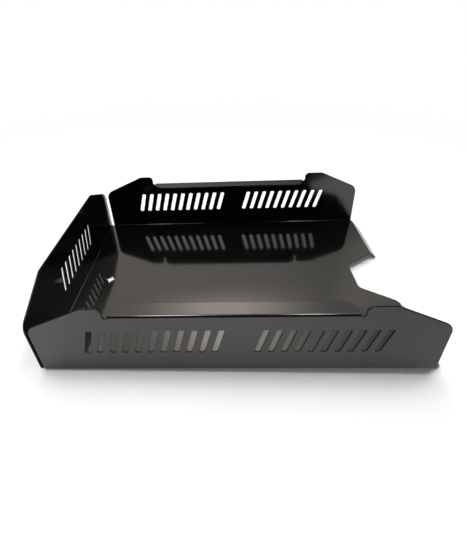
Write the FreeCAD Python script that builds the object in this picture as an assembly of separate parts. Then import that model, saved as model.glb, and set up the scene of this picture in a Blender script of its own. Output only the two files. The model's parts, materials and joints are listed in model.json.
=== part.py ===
import FreeCAD, Part
import math
import os

# A desk tray for papers, laser cut and folded from one steel sheet, standing as it does on a desk.
# X runs from the back wall to the open front, Y from the left wall to the right one, Z is up.
# Each flap of the sheet is one solid that carries its own fold and meets its neighbour at the fold line.
# Flaps are drawn with the floor level and its underside at zero height, x from the back wall's inner face.
# The tray stands on its back fold and its two front lips, so all flaps are then tipped together.

# Sheet and folds
sheet = 1.5
fold_radius = 0.7
right_angle = 90.0

# Floor
floor_length = 320.0
floor_width = 236.4

# Finger notch in the front edge of the floor
notch_depth = 30.2
notch_mouth = 80.0
notch_bottom = 38.4
notch_radius = 8.0
notch_mouth_radius = 3.0

# Star-shaped hole near the back of the floor
star_from_back = 28.0
star_span = 15.0
star_waist_share = 0.24

# Heights above the underside of the floor, shared by the three walls
corner_height = 48.1
ear_height = 68.2
flange_height = 60.3
corner_radius = 11.0
crest_radius = 5.0

# Side walls, from back to front
wall_back_gap = 2.7
rear_slope_run = 46.2
rear_ear_length = 15.3
relief_width = 2.9
front_ear_length = 20.2
front_slope_run = 44.4
wall_front_lean = 1.6
ear_fillet = 4.8
relief_radius = 2.4

# Back wall, a little longer than the floor is wide
back_end_reach = 0.3
back_slope_run = 46.3

# Grip flanges
flange_reach = 14.0
flange_taper = 1.0
flange_corner = 12.0

# Front lips
lip_angle = 43.0
lip_length = 11.0
lip_notch_inset = 2.0
lip_wall_inset = 2.5
lip_taper = 4.0
lip_corner = 3.0

# Slanted slots in rows along the walls
slot_width = 4.6
slot_height = 24.0
slot_slant = 6.4
slot_corner = 1.6
slot_pitch = 10.1
slot_foot = 21.5
side_slots_inset = 42.0
side_rows_gap = 21.0
rear_row_share = 0.521
back_slots_inset = 71.5

# Worked out from the sizes above
fold_outer = fold_radius + sheet
half_width = floor_width / 2
floor_edge = half_width - fold_radius
wall_foot = sheet + fold_radius
shelf_foot = flange_height - fold_outer
wall_back = wall_back_gap
wall_front = floor_length - wall_front_lean
back_end = half_width + back_end_reach
rear_ear_start = wall_back + rear_slope_run
rear_ear_end = rear_ear_start + rear_ear_length
flange_back = rear_ear_end + relief_width
front_ear_end = wall_front - front_slope_run
front_ear_start = front_ear_end - front_ear_length
flange_front = front_ear_start - relief_width
slot_reach = slot_width + slot_slant
side_rows_room = floor_length - 2 * side_slots_inset - side_rows_gap
rear_row_room = side_rows_room * rear_row_share
front_row_room = side_rows_room - rear_row_room
back_row_room = floor_width - 2 * back_slots_inset
notch_end = floor_length - notch_depth
notch_flare = (notch_mouth - notch_bottom) / 2

# The floor's two tongues begin level with the middle of the rounds in the finger notch.
tongue_root = notch_end + notch_radius * (1 - math.cos(math.atan2(notch_depth, notch_flare) / 2))


def rounded_face(corners, place):
    """Flat face with corners (u, v, radius); place turns u and v into a point in space."""
    rounds = []
    for i, (u, v, radius) in enumerate(corners):
        here = FreeCAD.Vector(u, v, 0)
        before = FreeCAD.Vector(corners[i - 1][0], corners[i - 1][1], 0)
        after = FreeCAD.Vector(corners[(i + 1) % len(corners)][0], corners[(i + 1) % len(corners)][1], 0)
        to_before = (before - here).normalize()
        to_after = (after - here).normalize()
        half_angle = to_before.getAngle(to_after) / 2
        reach = radius / math.tan(half_angle)
        middle = here + (to_before + to_after).normalize() * (radius / math.sin(half_angle) - radius)
        rounds.append((here + to_before * reach, middle, here + to_after * reach, radius))
    edges = []
    for i, (start, middle, end, radius) in enumerate(rounds):
        if radius > 0:
            edges.append(Part.Arc(place(start), place(middle), place(end)).toShape())
        following = rounds[(i + 1) % len(rounds)][0]
        edges.append(Part.LineSegment(place(end), place(following)).toShape())
    return Part.Face(Part.Wire(edges))


def fold(centre, start, turn, degrees, length):
    """Fold of the sheet about centre, from direction start towards direction turn, as long as length."""
    def rim(radius, share):
        angle = math.radians(degrees) * share
        return centre + start * (radius * math.cos(angle)) + turn * (radius * math.sin(angle))

    first, half, last = 0, 1 / 2, 1
    outer = Part.Arc(rim(fold_outer, first), rim(fold_outer, half), rim(fold_outer, last)).toShape()
    inner = Part.Arc(rim(fold_radius, last), rim(fold_radius, half), rim(fold_radius, first)).toShape()
    far_end = Part.LineSegment(rim(fold_outer, last), rim(fold_radius, last)).toShape()
    near_end = Part.LineSegment(rim(fold_radius, first), rim(fold_outer, first)).toShape()
    return Part.Face(Part.Wire([outer, far_end, inner, near_end])).extrude(length)


def one_solid(first, *others):
    """Flap and fold as one solid with no seam between them."""
    return first.fuse(list(others)).removeSplitter().Solids[0]


def star_face(centre, span):
    """Four-pointed star with hollow sides."""
    tips = []
    hollows = []
    for quarter in range(4):
        turn = math.radians(right_angle * quarter)
        towards = FreeCAD.Vector(math.cos(turn), math.sin(turn), 0)
        tips.append(centre + towards * (span / 2))
        turn = math.radians(right_angle * (quarter + 1 / 2))
        towards = FreeCAD.Vector(math.cos(turn), math.sin(turn), 0)
        hollows.append(centre + towards * (span * star_waist_share))
    sides = [Part.Arc(tips[i - 1], hollows[i - 1], tips[i]).toShape() for i in range(4)]
    return Part.Face(Part.Wire(sides))


def slot_count(room):
    """Slots that go into a row no longer than room."""
    return int((room - slot_reach) / slot_pitch) + 1


def row_length(room):
    """Length of the row that goes into room."""
    return slot_pitch * (slot_count(room) - 1) + slot_reach


def slot_row(first, room, place, through):
    """Cutters for a row of slanted slots, the first slot's lower corner at first."""
    cutters = []
    for i in range(slot_count(room)):
        left = first + slot_pitch * i
        low = slot_foot
        high = slot_foot + slot_height
        corners = [
            (left, low, slot_corner),
            (left + slot_width, low, slot_corner),
            (left + slot_width + slot_slant, high, slot_corner),
            (left + slot_slant, high, slot_corner),
        ]
        cutters.append(rounded_face(corners, place).extrude(through))
    return cutters


def whole_floor():
    """Floor between the folds, with the finger notch and the star."""
    corners = [
        (fold_radius, -floor_edge, 0),
        (floor_length, -floor_edge, 0),
        (floor_length, -notch_mouth / 2, notch_mouth_radius),
        (notch_end, -notch_bottom / 2, notch_radius),
        (notch_end, notch_bottom / 2, notch_radius),
        (floor_length, notch_mouth / 2, notch_mouth_radius),
        (floor_length, floor_edge, 0),
        (fold_radius, floor_edge, 0),
    ]
    thickness = FreeCAD.Vector(0, 0, sheet)
    panel = rounded_face(corners, lambda p: p).extrude(thickness)
    star = star_face(FreeCAD.Vector(star_from_back, 0, 0), star_span)
    return panel.cut(star.extrude(thickness)).Solids[0]


def floor_parts():
    """Floor as a panel behind the finger notch and a tongue on each side of it, left one first."""
    front_end = FreeCAD.Vector(tongue_root, -floor_edge, 0)
    front_block = Part.makeBox(floor_length - tongue_root, 2 * floor_edge, sheet, front_end)
    whole = whole_floor()
    tongues = sorted(whole.common(front_block).Solids, key=lambda s: s.CenterOfMass.y)
    return whole.cut(front_block).Solids + tongues


def back_wall():
    """Back wall with its fold, low at both ends, and its row of slots."""
    centre = FreeCAD.Vector(fold_radius, -back_end, wall_foot)
    down = FreeCAD.Vector(0, 0, -1)
    backward = FreeCAD.Vector(-1, 0, 0)
    bend = fold(centre, down, backward, right_angle, FreeCAD.Vector(0, 2 * back_end, 0))
    corners = [
        (-back_end, wall_foot, 0),
        (back_end, wall_foot, 0),
        (back_end, corner_height, corner_radius),
        (back_end - back_slope_run, ear_height, crest_radius),
        (back_slope_run - back_end, ear_height, crest_radius),
        (-back_end, corner_height, corner_radius),
    ]

    def place(p):
        return FreeCAD.Vector(0, p.x, p.y)

    upright = rounded_face(corners, place).extrude(backward * sheet)
    slots = slot_row(-row_length(back_row_room) / 2, back_row_room, place, backward * sheet)
    return one_solid(upright.cut(slots), bend)


def side_wall(side):
    """Side wall with its fold, two ears, reliefs beside the grip flange and two rows of slots."""
    outward = FreeCAD.Vector(0, side, 0)
    centre = FreeCAD.Vector(wall_back, side * floor_edge, wall_foot)
    down = FreeCAD.Vector(0, 0, -1)
    bend = fold(centre, down, outward, right_angle, FreeCAD.Vector(floor_length - wall_back, 0, 0))
    corners = [
        (wall_back, wall_foot, 0),
        (wall_back, corner_height, corner_radius),
        (rear_ear_start, ear_height, crest_radius),
        (rear_ear_end, ear_height, ear_fillet),
        (rear_ear_end, shelf_foot, relief_radius),
        (front_ear_start, shelf_foot, relief_radius),
        (front_ear_start, ear_height, ear_fillet),
        (front_ear_end, ear_height, crest_radius),
        (wall_front, corner_height, corner_radius),
        (floor_length, wall_foot, 0),
    ]

    def place(p):
        return FreeCAD.Vector(p.x, side * half_width, p.y)

    upright = rounded_face(corners, place).extrude(outward * sheet)
    slots = slot_row(side_slots_inset, rear_row_room, place, outward * sheet)
    front_row = floor_length - side_slots_inset - row_length(front_row_room)
    slots += slot_row(front_row, front_row_room, place, outward * sheet)
    return one_solid(upright.cut(slots), bend)


def grip_flange(side):
    """Ledge folded inward at the top of a side wall, a blunt edge to lift the tray by."""
    centre = FreeCAD.Vector(flange_back, side * floor_edge, shelf_foot)
    outward = FreeCAD.Vector(0, side, 0)
    up = FreeCAD.Vector(0, 0, 1)
    bend = fold(centre, outward, up, right_angle, FreeCAD.Vector(flange_front - flange_back, 0, 0))
    ledge_width = flange_reach - fold_radius
    corners = [
        (flange_back, 0, 0),
        (flange_front, 0, 0),
        (flange_front - flange_taper, ledge_width, flange_corner),
        (flange_back + flange_taper, ledge_width, flange_corner),
    ]

    def place(p):
        return FreeCAD.Vector(p.x, side * (floor_edge - p.y), flange_height)

    ledge = rounded_face(corners, place).extrude(up * -sheet)
    return one_solid(ledge, bend)


def front_lip(side):
    """Lip folded down at the front of the floor, between the finger notch and a side wall."""
    notch_side = side * (notch_mouth / 2 + lip_notch_inset)
    wall_side = side * (half_width - lip_wall_inset)
    centre = FreeCAD.Vector(floor_length, notch_side, -fold_radius)
    up = FreeCAD.Vector(0, 0, 1)
    forward = FreeCAD.Vector(1, 0, 0)
    bend = fold(centre, up, forward, lip_angle, FreeCAD.Vector(0, wall_side - notch_side, 0))
    angle = math.radians(lip_angle)
    along = forward * math.cos(angle) - up * math.sin(angle)
    upper = forward * math.sin(angle) + up * math.cos(angle)
    corners = [
        (notch_side, 0, 0),
        (wall_side, 0, 0),
        (wall_side - side * lip_taper, lip_length, lip_corner),
        (notch_side, lip_length, lip_corner),
    ]

    def place(p):
        root = FreeCAD.Vector(floor_length, p.x, -fold_radius) + upper * fold_radius
        return root + along * p.y

    blade = rounded_face(corners, place).extrude(upper * sheet)
    return one_solid(blade, bend)


def rest_tilt():
    """Angle between the floor and the desk: the desk touches the back fold and the lips' lower edges."""
    angle = math.radians(lip_angle)
    lip_x = floor_length + fold_radius * math.sin(angle) + lip_length * math.cos(angle)
    lip_z = -fold_radius + fold_radius * math.cos(angle) - lip_length * math.sin(angle)
    run = lip_x - fold_radius
    fall = wall_foot - lip_z
    return math.degrees(math.atan2(fall, run) - math.asin(fold_outer / math.hypot(run, fall)))


panel, left_tongue, right_tongue = floor_parts()
flaps = {
    "floor_panel": panel,
    "left_front_tongue": left_tongue,
    "right_front_tongue": right_tongue,
    "back_wall": back_wall(),
}
for name, side in (("left", -1), ("right", 1)):
    flaps[name + "_side_wall"] = side_wall(side)
    flaps[name + "_grip_flange"] = grip_flange(side)
    flaps[name + "_front_lip"] = front_lip(side)

# Tip the tray about its back fold onto the desk, then centre it along its length.
fold_axis = FreeCAD.Vector(fold_radius, 0, wall_foot)
for flap in flaps.values():
    flap.rotate(fold_axis, FreeCAD.Vector(0, 1, 0), -rest_tilt())
box = Part.makeCompound(list(flaps.values())).optimalBoundingBox()
for flap in flaps.values():
    flap.translate(FreeCAD.Vector(-(box.XMin + box.XMax) / 2, 0, -box.ZMin))

os.makedirs("parts", exist_ok=True)
for name, flap in flaps.items():
    flap.exportStep("parts/" + name + ".step")
    print(name, flap.isValid(), len(flap.Solids), round(flap.Volume, 1))
print("tilt", round(rest_tilt(), 4), "length", round(box.XLength, 2), "height", round(box.ZLength, 2))
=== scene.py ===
import json
import math

import bmesh
import bpy
from mathutils import Euler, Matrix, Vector

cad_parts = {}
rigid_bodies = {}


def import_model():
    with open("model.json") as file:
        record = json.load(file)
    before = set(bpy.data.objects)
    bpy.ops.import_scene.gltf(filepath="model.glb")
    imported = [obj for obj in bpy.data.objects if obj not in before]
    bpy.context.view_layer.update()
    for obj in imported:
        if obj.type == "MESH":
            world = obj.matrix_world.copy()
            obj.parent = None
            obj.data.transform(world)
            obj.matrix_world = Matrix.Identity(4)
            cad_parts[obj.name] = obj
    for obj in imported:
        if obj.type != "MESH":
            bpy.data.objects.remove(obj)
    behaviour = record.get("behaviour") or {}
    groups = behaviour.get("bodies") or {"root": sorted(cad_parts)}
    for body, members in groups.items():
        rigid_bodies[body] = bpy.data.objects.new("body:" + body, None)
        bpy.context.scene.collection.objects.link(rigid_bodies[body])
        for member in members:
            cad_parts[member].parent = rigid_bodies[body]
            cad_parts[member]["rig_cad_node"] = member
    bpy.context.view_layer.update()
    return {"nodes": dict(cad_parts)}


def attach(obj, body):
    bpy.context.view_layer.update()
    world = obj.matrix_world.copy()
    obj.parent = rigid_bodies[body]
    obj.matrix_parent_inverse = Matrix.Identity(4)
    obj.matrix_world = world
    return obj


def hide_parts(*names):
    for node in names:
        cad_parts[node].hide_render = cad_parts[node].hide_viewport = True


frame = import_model()

# The tray's own sizes, in metres. They are read with the floor level, before the tray is tipped
# onto its back fold and front lips, and x runs from the back wall's inner face.
MM = 0.001
FOLD_RADIUS = 0.7 * MM
FLOOR_LENGTH = 320.0 * MM
FLOOR_EDGE = 117.5 * MM
TONGUE_ROOT = 290.7169 * MM
WALL_FOOT = 2.2 * MM
SHELF_FOOT = 58.1 * MM
LENGTH_SHIFT = 163.306991 * MM
REST_TILT = math.radians(1.3436886)
TILT_COS = math.cos(REST_TILT)
TILT_SIN = math.sin(REST_TILT)

# Room that holds the slots of the side walls, half the width of the back wall's row, and the star
SLOT_ENDS = (35.0 * MM, 285.0 * MM)
SLOT_HEIGHTS = (20.0 * MM, 47.0 * MM)
SLOT_MIDDLE = 33.5 * MM
BACK_ROW_HALF = 60.0 * MM
STAR_ROOM = 40.0 * MM

# How far the cut edges of the sheet are rounded, round its outline and in its slots and star
EDGE_ROUND = 0.55 * MM
HOLE_ROUND = 0.25 * MM
EDGE_STEPS = 5
EDGE_PROFILE = 0.5

# Angles between faces: below flat they are joined, above sharp they are rounded, and below smooth
# they shade as one
FLAT_ANGLE = math.radians(0.3)
SHARP_ANGLE = math.radians(35)
SMOOTH_ANGLE = math.radians(50)

# How near two points count as one, and how near a seam a point counts as lying in it
SAME_POINT = 0.002 * MM
SEAM_SLACK = 0.03 * MM

# How much of a face's normal runs along an axis when the face stands beside it or lies square to it
BESIDE = 0.5
SQUARE = 0.9
LIP_END_DOWN = -0.3
LIP_END_AHEAD = 0.25

# Material slots of a flap
SKIN = 0
CUT = 1

# Planes in which a flap meets its neighbours, where its edges stay square and closed
SEAMS = {
    "floor_panel": (("x", FOLD_RADIUS), ("x", TONGUE_ROOT), ("y", FLOOR_EDGE)),
    "front_tongue": (("x", TONGUE_ROOT), ("x", FLOOR_LENGTH), ("y", FLOOR_EDGE)),
    "back_wall": (("x", FOLD_RADIUS),),
    "side_wall": (("y", FLOOR_EDGE), ("z", SHELF_FOOT)),
    "grip_flange": (("z", SHELF_FOOT),),
    "front_lip": (("x", FLOOR_LENGTH),),
}

# Sprayed paint. A grain is how fine a pattern is, with the layers of detail in it.
RIPPLE_GRAIN = (420.0, 1.5)
PATCH_GRAIN = (14.0, 2.0)
PATCH_SHARE = 0.6
BLOTCH_GRAIN = (70.0, 3.0)
BLOTCH_SHARE = 0.4
SHEEN_RANGE = (0.35, 0.65)
SCUFF_GRAIN = (900.0, 1.0)
SCUFF_STRETCH = (0.05, 1.0, 1.0)
SCUFF_TURN = (0.0, 0.0, math.radians(4))
SCUFF_RANGE = (0.62, 0.78)
SCUFF_ROUGHNESS = 0.12
WEAR_GRAIN = (11.0, 2.0)
WEAR_RANGE = (0.45, 0.7)
DUST_GRAIN = 210.0
DUST_REACH = (0.03, 0.07)
DUST_CHOICE = (0.86, 0.9)
PAINT_BLACK = (0.0031, 0.0032, 0.0036, 1.0)
DUST_GREY = (0.06, 0.058, 0.055, 1.0)
PAINT_IOR = 1.66
EDGE_IOR = 1.38

# What a finish sets of the paint, and what it has where it sets nothing
PAINT_INPUTS = {"Ripple Height": 0.000003, "Sheen Low": 0.14, "Sheen High": 0.2, "Dust": 0.3, "Scuffs": 0.0}
PAINT_OUTPUTS = {"Colour": "NodeSocketColor", "Roughness": "NodeSocketFloat", "Height": "NodeSocketFloat"}
FLOOR_FINISH = {"Scuffs": 0.35, "Sheen Low": 0.075, "Sheen High": 0.105}
WALL_FINISH = {"Sheen Low": 0.13, "Sheen High": 0.17}
EDGE_FINISH = {"Sheen Low": 0.16, "Sheen High": 0.22, "Dust": 0.1}

# Camera fitted to the photograph, turned by degrees
SENSOR = 36.0
LENS = 23.542
LENS_SHIFT = (0.04272, -0.02163)
CAMERA_REACH = (0.01, 100.0)
CAMERA_PLACE = (-0.0123, -0.30573, 0.24679)
CAMERA_TURN = (53.89996, 1.09004, 1.72644)

# Table top: its colour as it lights the tray and as it is seen, and the ring in which it turns plain white
WHITE = (1.0, 1.0, 1.0, 1.0)
TABLE_SIZE = 40.0
TABLE_MATT = (0.8, 0.8, 0.8, 1.0)
TABLE_SHOWN = (0.98, 0.98, 0.98, 1.0)
TABLE_GLOW = 0.09
TABLE_FADE = (0.4, 0.9)

# Painted shade on the table where the tray mirrors it: the share of its brightness taken away, growing
# along x, and setting in along y
TABLE_PAINTED_SHADE = 0.41
PAINTED_SHADE_ALONG_X = (0.02, 0.22)
PAINTED_SHADE_ALONG_Y = (-0.06, -0.12)

# Light of the dim room. Each lamp is a direction, the angles off it at which the lamp starts to fade
# and ends, and a colour.
ROOM_DIM = (0.11, 0.125, 0.135)
ROOM_LAMPS = (
    ((-0.77, -0.05, 0.64), 8, 22, (2.2, 2.3, 2.5)),
    ((-0.55, 0.42, 0.68), 6, 18, (1.9, 2.0, 2.0)),
    ((0.5, 0.3, 0.81), 6, 16, (3.0, 3.0, 3.0)),
    ((-0.18, 0.5, 0.85), 14, 46, (0.96, 0.87, 0.75)),
)

# The side behind the camera is darker, in the same terms
DARK_SIDE = ((0.0, -0.85, 0.53), 25, 58, (-0.08, -0.092, -0.1))

# Softboxes: name, place, degrees up from lying flat, where they fade across and along, strength, colour
WARM = (1.1, 1.0, 0.87, 1.0)
SOFTBOXES = (
    ("back_softbox", (-0.04, 0.76, 0.905), 90, (0.0, 0.42), (0.03, 0.27), 2.7, WARM),
    ("right_fill", (0.6, 0.76, 0.62), 90, (0.1, 0.29), (0.12, 0.24), 0.42, WARM),
    ("left_strip", (-0.27, -0.05, 1.2), 0, (0.08, 0.15), (0.2, 0.32), 12.0, WHITE),
    ("right_strip", (0.28, -0.05, 1.2), 0, (0.04, 0.09), (0.2, 0.32), 13.0, WHITE),
)


def level(point):
    """Where a point of the standing tray is while the floor is level."""
    x = point.x + LENGTH_SHIFT - FOLD_RADIUS
    z = point.z - WALL_FOOT
    along = FOLD_RADIUS + x * TILT_COS + z * TILT_SIN
    height = WALL_FOOT - x * TILT_SIN + z * TILT_COS
    return Vector((along, point.y, height))


def in_seam(place, seams):
    """Which of a flap's seam planes a levelled point lies in."""
    found = set()
    for axis, value in seams:
        at = abs(place.y) if axis == "y" else getattr(place, axis)
        if abs(at - value) < SEAM_SLACK:
            found.add((axis, value))
    return found


def is_cut(kind, face):
    """True for the faces that the laser cut, across the thickness of the sheet."""
    centre = level(face.calc_center_median())
    n = face.normal
    if kind in ("floor_panel", "front_tongue"):
        return abs(n.z) < BESIDE
    if kind == "back_wall":
        return abs(n.y) > SQUARE or (abs(n.x) < BESIDE and centre.z > WALL_FOOT)
    if kind == "side_wall":
        return abs(n.x) > SQUARE or (abs(n.y) < BESIDE and centre.z > WALL_FOOT)
    if kind == "grip_flange":
        return abs(n.x) > BESIDE or (abs(n.z) < BESIDE and abs(centre.y) < FLOOR_EDGE)
    return abs(n.y) > SQUARE or (n.z < LIP_END_DOWN and n.x > LIP_END_AHEAD)


def is_free_edge(edge, kind):
    """True for a square edge that the sheet shows, and not where a flap meets its neighbour."""
    first, second = [in_seam(level(v.co), SEAMS[kind]) for v in edge.verts]
    return not first & second and edge.calc_face_angle(0.0) > SHARP_ANGLE


def in_hole(edge, kind):
    """True for the rims of the slots and of the star."""
    middle = level((edge.verts[0].co + edge.verts[1].co) / 2)
    if kind == "floor_panel":
        return middle.x < STAR_ROOM and abs(middle.y) < STAR_ROOM
    if not SLOT_HEIGHTS[0] < middle.z < SLOT_HEIGHTS[1]:
        return False
    if kind == "side_wall":
        return SLOT_ENDS[0] < middle.x < SLOT_ENDS[1]
    return kind == "back_wall" and abs(middle.y) < BACK_ROW_HALF


def select_edges(piece, chosen):
    """Selects the edges for which chosen is true, and says whether there are any."""
    bpy.ops.mesh.select_all(action="DESELECT")
    mesh = bmesh.from_edit_mesh(piece.data)
    for edge in mesh.edges:
        edge.select_set(chosen(edge))
    bmesh.update_edit_mesh(piece.data)
    return any(edge.select for edge in mesh.edges)


def join_facets(piece):
    """Joins the triangles that the sheet's flat faces came in."""
    bpy.ops.mesh.select_all(action="SELECT")
    bpy.ops.mesh.customdata_custom_splitnormals_clear()
    bpy.ops.mesh.remove_doubles(threshold=SAME_POINT)
    bpy.ops.mesh.select_all(action="SELECT")
    bpy.ops.mesh.mark_sharp(clear=True)
    bpy.ops.mesh.dissolve_limited(angle_limit=FLAT_ANGLE)


def cut_through_slots(piece):
    """Splits a wall along the middle of its slots, so that no face of it runs round a hole."""
    rise = (SLOT_MIDDLE - WALL_FOOT) / TILT_COS
    middle = Vector((FOLD_RADIUS - LENGTH_SHIFT, 0.0, WALL_FOOT + rise))
    bpy.ops.mesh.select_all(action="SELECT")
    bpy.ops.mesh.bisect(plane_co=middle, plane_no=(-TILT_SIN, 0.0, TILT_COS))

    def is_leftover(edge):
        """True for an edge that divides a flat face, other than this cut."""
        in_cut = all(abs(level(v.co).z - SLOT_MIDDLE) < SEAM_SLACK for v in edge.verts)
        return edge.calc_face_angle(1.0) < FLAT_ANGLE and not in_cut

    select_edges(piece, is_leftover)
    bpy.ops.mesh.dissolve_edges(use_verts=False, use_face_split=False)


def part_finishes(piece, kind):
    """Gives the faces that the laser cut their own finish."""
    bpy.ops.mesh.select_all(action="DESELECT")
    mesh = bmesh.from_edit_mesh(piece.data)
    for face in mesh.faces:
        face.material_index = CUT if is_cut(kind, face) else SKIN
    bmesh.update_edit_mesh(piece.data)


def round_edges(piece, kind):
    """Rounds the cut edges, as the paint does: first the outline, then the slots or the star."""
    for holes, rounding in ((False, EDGE_ROUND), (True, HOLE_ROUND)):
        if select_edges(piece, lambda edge: is_free_edge(edge, kind) and in_hole(edge, kind) == holes):
            bpy.ops.mesh.bevel(offset=rounding, segments=EDGE_STEPS, profile=EDGE_PROFILE, affect="EDGES",
                               material=CUT, face_strength_mode="ALL")


def keep_seams_sharp(piece, kind):
    """Marks the rims of the faces by which a flap meets its neighbours."""
    mesh = bmesh.from_edit_mesh(piece.data)
    for face in mesh.faces:
        if set.intersection(*[in_seam(level(v.co), SEAMS[kind]) for v in face.verts]):
            for edge in face.edges:
                edge.smooth = False
    bmesh.update_edit_mesh(piece.data)


def painted_flap(name, kind, skin, cut):
    """Copy of a flap with its facets joined, its cut edges rounded by the paint and two finishes."""
    node = frame["nodes"][name]
    bpy.ops.object.select_all(action="DESELECT")
    node.select_set(True)
    bpy.context.view_layer.objects.active = node
    bpy.ops.object.duplicate()
    piece = bpy.context.object
    piece.name = name + "_painted"
    piece.data.name = piece.name
    del piece["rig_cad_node"]
    piece.data.materials.clear()
    piece.data.materials.append(skin)
    piece.data.materials.append(cut)

    bpy.ops.object.mode_set(mode="EDIT")
    bpy.ops.mesh.select_mode(type="EDGE")
    join_facets(piece)
    if kind in ("side_wall", "back_wall"):
        cut_through_slots(piece)
    part_finishes(piece, kind)
    round_edges(piece, kind)
    keep_seams_sharp(piece, kind)
    bpy.ops.object.mode_set(mode="OBJECT")

    bpy.ops.object.shade_smooth_by_angle(angle=SMOOTH_ANGLE)
    bpy.ops.object.modifier_add(type="WEIGHTED_NORMAL")
    piece.modifiers[-1].keep_sharp = True
    piece.modifiers[-1].use_face_influence = True
    bpy.ops.object.modifier_apply(modifier=piece.modifiers[-1].name)
    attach(piece, "root")
    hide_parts(name)


def add_node(tree, kind, given, **settings):
    """New shader node with its settings, and with each input in given linked or set to a value."""
    made = tree.nodes.new(kind)
    for key, value in settings.items():
        setattr(made, key, value)
    for key, value in given.items():
        if isinstance(value, bpy.types.NodeSocket):
            tree.links.new(value, made.inputs[key])
        else:
            made.inputs[key].default_value = value
    return made


def maths(tree, operation, first, second=0.0):
    """Result of sums on two values or sockets."""
    return add_node(tree, "ShaderNodeMath", {0: first, 1: second}, operation=operation).outputs[0]


def spread(tree, value, limits, to_low=0.0, to_high=1.0, shape="SMOOTHSTEP"):
    """Value carried from between its two limits to between two others, and held there."""
    given = {0: value, 1: limits[0], 2: limits[1], 3: to_low, 4: to_high}
    return add_node(tree, "ShaderNodeMapRange", given, interpolation_type=shape).outputs[0]


def shader(tree, kind, given):
    """Output of a shader node."""
    return add_node(tree, kind, given).outputs[0]


def paint_skin_group():
    """Sprayed black gloss: its slight ripple, uneven sheen, scuffs and the odd speck of dust."""
    group = bpy.data.node_groups.new("paint_skin", "ShaderNodeTree")
    for name, value in PAINT_INPUTS.items():
        made = group.interface.new_socket(name=name, in_out="INPUT", socket_type="NodeSocketFloat")
        made.default_value = value
    for name, kind in PAINT_OUTPUTS.items():
        group.interface.new_socket(name=name, in_out="OUTPUT", socket_type=kind)
    given = group.nodes.new("NodeGroupInput").outputs
    out = group.nodes.new("NodeGroupOutput").inputs
    where = group.nodes.new("ShaderNodeTexCoord").outputs["Object"]

    def noise(grain, source=where):
        """Noise pattern of one grain."""
        scale, detail = grain
        inputs = {"Vector": source, "Scale": scale, "Detail": detail}
        return add_node(group, "ShaderNodeTexNoise", inputs).outputs["Fac"]

    # Ripple that the spray leaves as it flows out, about 2 mm from crest to crest
    ripple = maths(group, "MULTIPLY", noise(RIPPLE_GRAIN), given["Ripple Height"])
    group.links.new(ripple, out["Height"])

    # Broad patches and smaller blotches of slightly different sheen
    patches = maths(group, "MULTIPLY", noise(PATCH_GRAIN), PATCH_SHARE)
    blotches = maths(group, "MULTIPLY", noise(BLOTCH_GRAIN), BLOTCH_SHARE)
    uneven = maths(group, "ADD", patches, blotches)
    sheen = spread(group, uneven, SHEEN_RANGE, given["Sheen Low"], given["Sheen High"])

    # Scuffs that paper leaves along the tray, here and there
    turn = {"Vector": where, "Scale": SCUFF_STRETCH, "Rotation": SCUFF_TURN}
    along = add_node(group, "ShaderNodeMapping", turn).outputs["Vector"]
    lines = spread(group, noise(SCUFF_GRAIN, along), SCUFF_RANGE)
    worn = spread(group, noise(WEAR_GRAIN), WEAR_RANGE)
    scuffs = maths(group, "MULTIPLY", maths(group, "MULTIPLY", lines, worn), given["Scuffs"])
    rougher = maths(group, "MULTIPLY", scuffs, SCUFF_ROUGHNESS)
    group.links.new(maths(group, "ADD", sheen, rougher), out["Roughness"])

    # Specks of dust under half a millimetre across, far apart
    cells = add_node(group, "ShaderNodeTexVoronoi", {"Vector": where, "Scale": DUST_GRAIN})
    specks = spread(group, cells.outputs["Distance"], DUST_REACH, 1.0, 0.0)
    chance = add_node(group, "ShaderNodeSeparateColor", {"Color": cells.outputs["Color"]})
    rare = spread(group, chance.outputs["Red"], DUST_CHOICE)
    dust = maths(group, "MULTIPLY", maths(group, "MULTIPLY", specks, rare), given["Dust"])
    colours = {"Factor": dust, "A": PAINT_BLACK, "B": DUST_GREY}
    tint = add_node(group, "ShaderNodeMix", colours, data_type="RGBA")
    group.links.new(tint.outputs["Result"], out["Colour"])
    return group


def paint(name, group, finish, ior):
    """Black gloss paint with its own share of ripple, sheen, dust and scuffs."""
    made = bpy.data.materials.new(name)
    made.use_nodes = True
    tree = made.node_tree
    gloss = tree.nodes["Principled BSDF"].inputs
    gloss["IOR"].default_value = ior
    skin = tree.nodes.new("ShaderNodeGroup")
    skin.node_tree = group
    for key, value in finish.items():
        skin.inputs[key].default_value = value
    height = {"Strength": 1.0, "Distance": 1.0, "Height": skin.outputs["Height"]}
    bump = add_node(tree, "ShaderNodeBump", height)
    tree.links.new(skin.outputs["Colour"], gloss["Base Color"])
    tree.links.new(skin.outputs["Roughness"], gloss["Roughness"])
    tree.links.new(bump.outputs["Normal"], gloss["Normal"])
    return made


def bare_material(name):
    """New material with nothing but its output."""
    made = bpy.data.materials.new(name)
    made.use_nodes = True
    made.node_tree.nodes.remove(made.node_tree.nodes["Principled BSDF"])
    return made


def camera():
    """Camera that sees the tray as the photograph does."""
    data = bpy.data.cameras.new("camera")
    data.sensor_width = SENSOR
    data.lens = LENS
    data.shift_x, data.shift_y = LENS_SHIFT
    data.clip_start, data.clip_end = CAMERA_REACH
    made = bpy.data.objects.new("camera", data)
    made.location = CAMERA_PLACE
    made.rotation_euler = Euler([math.radians(a) for a in CAMERA_TURN])
    bpy.context.scene.collection.objects.link(made)
    bpy.context.scene.camera = made


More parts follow.
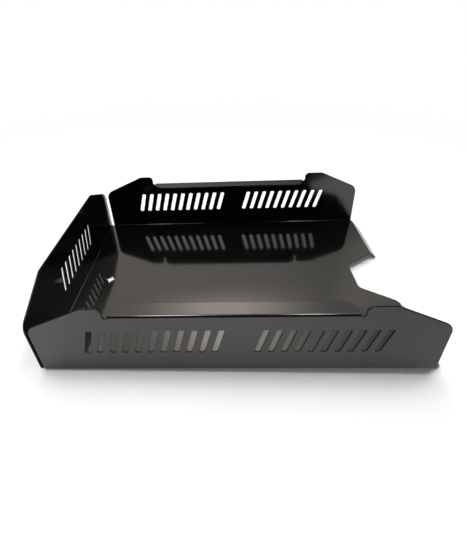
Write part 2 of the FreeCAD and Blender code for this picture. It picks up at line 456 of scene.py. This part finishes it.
def desk():
    """White table top that keeps the tray's shadow, fades to plain white away from it, and carries a
    painted shade in reflections.
    """
    bpy.ops.object.select_all(action="DESELECT")
    bpy.ops.mesh.primitive_plane_add(size=TABLE_SIZE, location=(0, 0, 0))
    top = bpy.context.object
    top.name = "table_top"
    made = bare_material("table_white")
    tree = made.node_tree
    where = tree.nodes.new("ShaderNodeTexCoord").outputs["Object"]
    path = tree.nodes.new("ShaderNodeLightPath").outputs

    # The table as it is seen: lit white near the tray, plain white farther off
    lit = shader(tree, "ShaderNodeBsdfDiffuse", {"Color": TABLE_SHOWN})
    glow = shader(tree, "ShaderNodeEmission", {"Strength": TABLE_GLOW})
    near = shader(tree, "ShaderNodeAddShader", {0: lit, 1: glow})
    far = shader(tree, "ShaderNodeEmission", {"Strength": 1.0})
    away = add_node(tree, "ShaderNodeVectorMath", {0: where}, operation="LENGTH").outputs["Value"]
    shown = shader(tree, "ShaderNodeMixShader", {0: spread(tree, away, TABLE_FADE), 1: near, 2: far})

    # Painted shade in what the near wall mirrors: in glossy rays only, the table in front darkens to the
    # right, towards the dim room's colour
    sides = add_node(tree, "ShaderNodeSeparateXYZ", {0: where}).outputs
    fall = spread(tree, sides["X"], PAINTED_SHADE_ALONG_X, 0.0, TABLE_PAINTED_SHADE, shape="LINEAR")
    in_front = spread(tree, sides["Y"], PAINTED_SHADE_ALONG_Y, 0.0, path["Is Glossy Ray"])
    painted_shade = maths(tree, "MULTIPLY", fall, in_front)
    painted_dark = shader(tree, "ShaderNodeEmission", {"Color": (*ROOM_DIM, 1.0)})
    mirrored = shader(tree, "ShaderNodeMixShader", {0: painted_shade, 1: shown, 2: painted_dark})

    # All other light meets a plain matt table
    matt = shader(tree, "ShaderNodeBsdfDiffuse", {"Color": TABLE_MATT})
    seen = maths(tree, "MAXIMUM", path["Is Camera Ray"], path["Is Glossy Ray"])
    table = shader(tree, "ShaderNodeMixShader", {0: seen, 1: matt, 2: mirrored})
    tree.links.new(table, tree.nodes["Material Output"].inputs["Surface"])
    top.data.materials.append(made)


def surroundings():
    """Dim room with soft lamps at its sides and back, darker behind the camera, which sees it as white."""
    world = bpy.data.worlds.new("room")
    bpy.context.scene.world = world
    world.use_nodes = True
    tree = world.node_tree
    where = tree.nodes.new("ShaderNodeTexCoord").outputs["Generated"]
    path = tree.nodes.new("ShaderNodeLightPath").outputs
    total = ROOM_DIM
    for direction, core, rim, colour in (*ROOM_LAMPS, DARK_SIDE):
        towards = {0: where, 1: Vector(direction).normalized()}
        facing = add_node(tree, "ShaderNodeVectorMath", towards, operation="DOT_PRODUCT").outputs["Value"]
        fade = spread(tree, facing, (math.cos(math.radians(rim)), math.cos(math.radians(core))))
        light = {0: fade, 1: colour, 2: total}
        total = add_node(tree, "ShaderNodeVectorMath", light, operation="MULTIPLY_ADD").outputs["Vector"]
    room = tree.nodes["Background"]
    tree.links.new(total, room.inputs["Color"])
    room.inputs["Strength"].default_value = 1.0
    plain = shader(tree, "ShaderNodeBackground", {"Color": WHITE, "Strength": 1.0})
    mix = shader(tree, "ShaderNodeMixShader", {0: path["Is Camera Ray"], 1: room.outputs[0], 2: plain})
    tree.links.new(mix, tree.nodes["World Output"].inputs["Surface"])


def softbox(name, place, lean, across, along, strength, colour):
    """Diffused lamp, brightest in its middle and fading towards its rim."""
    bpy.ops.object.select_all(action="DESELECT")
    bpy.ops.mesh.primitive_plane_add(size=2 * max(across[1], along[1]))
    panel = bpy.context.object
    panel.name = name
    panel.location = place
    panel.rotation_euler = (math.radians(lean), 0, 0)
    made = bare_material(name + "_glow")
    tree = made.node_tree
    where = tree.nodes.new("ShaderNodeTexCoord").outputs["Object"]
    sides = add_node(tree, "ShaderNodeSeparateXYZ", {0: where}).outputs

    def fade(axis, core, rim, brightest):
        """Brightest within core of the middle along one axis, and gone at rim."""
        return spread(tree, maths(tree, "ABSOLUTE", sides[axis]), (rim, core), 0.0, brightest)

    both = maths(tree, "MULTIPLY", fade("X", *across, 1.0), fade("Y", *along, strength))
    glow = shader(tree, "ShaderNodeEmission", {"Color": colour, "Strength": both})
    clear = shader(tree, "ShaderNodeBsdfTransparent", {})
    lamp = shader(tree, "ShaderNodeAddShader", {0: glow, 1: clear})
    tree.links.new(lamp, tree.nodes["Material Output"].inputs["Surface"])
    panel.data.materials.append(made)
    panel.visible_camera = False
    panel.visible_shadow = False


skin_group = paint_skin_group()
floor_paint = paint("floor_gloss", skin_group, FLOOR_FINISH, PAINT_IOR)
wall_paint = paint("wall_gloss", skin_group, WALL_FINISH, PAINT_IOR)
edge_paint = paint("cut_edge_gloss", skin_group, EDGE_FINISH, EDGE_IOR)

painted_flap("floor_panel", "floor_panel", floor_paint, edge_paint)
painted_flap("back_wall", "back_wall", wall_paint, edge_paint)
for side in ("left", "right"):
    painted_flap(side + "_front_tongue", "front_tongue", floor_paint, edge_paint)
    for kind in ("side_wall", "grip_flange", "front_lip"):
        painted_flap(side + "_" + kind, kind, wall_paint, edge_paint)

camera()
desk()
surroundings()
for box in SOFTBOXES:
    softbox(*box)
bpy.context.scene.view_settings.view_transform = "Standard"
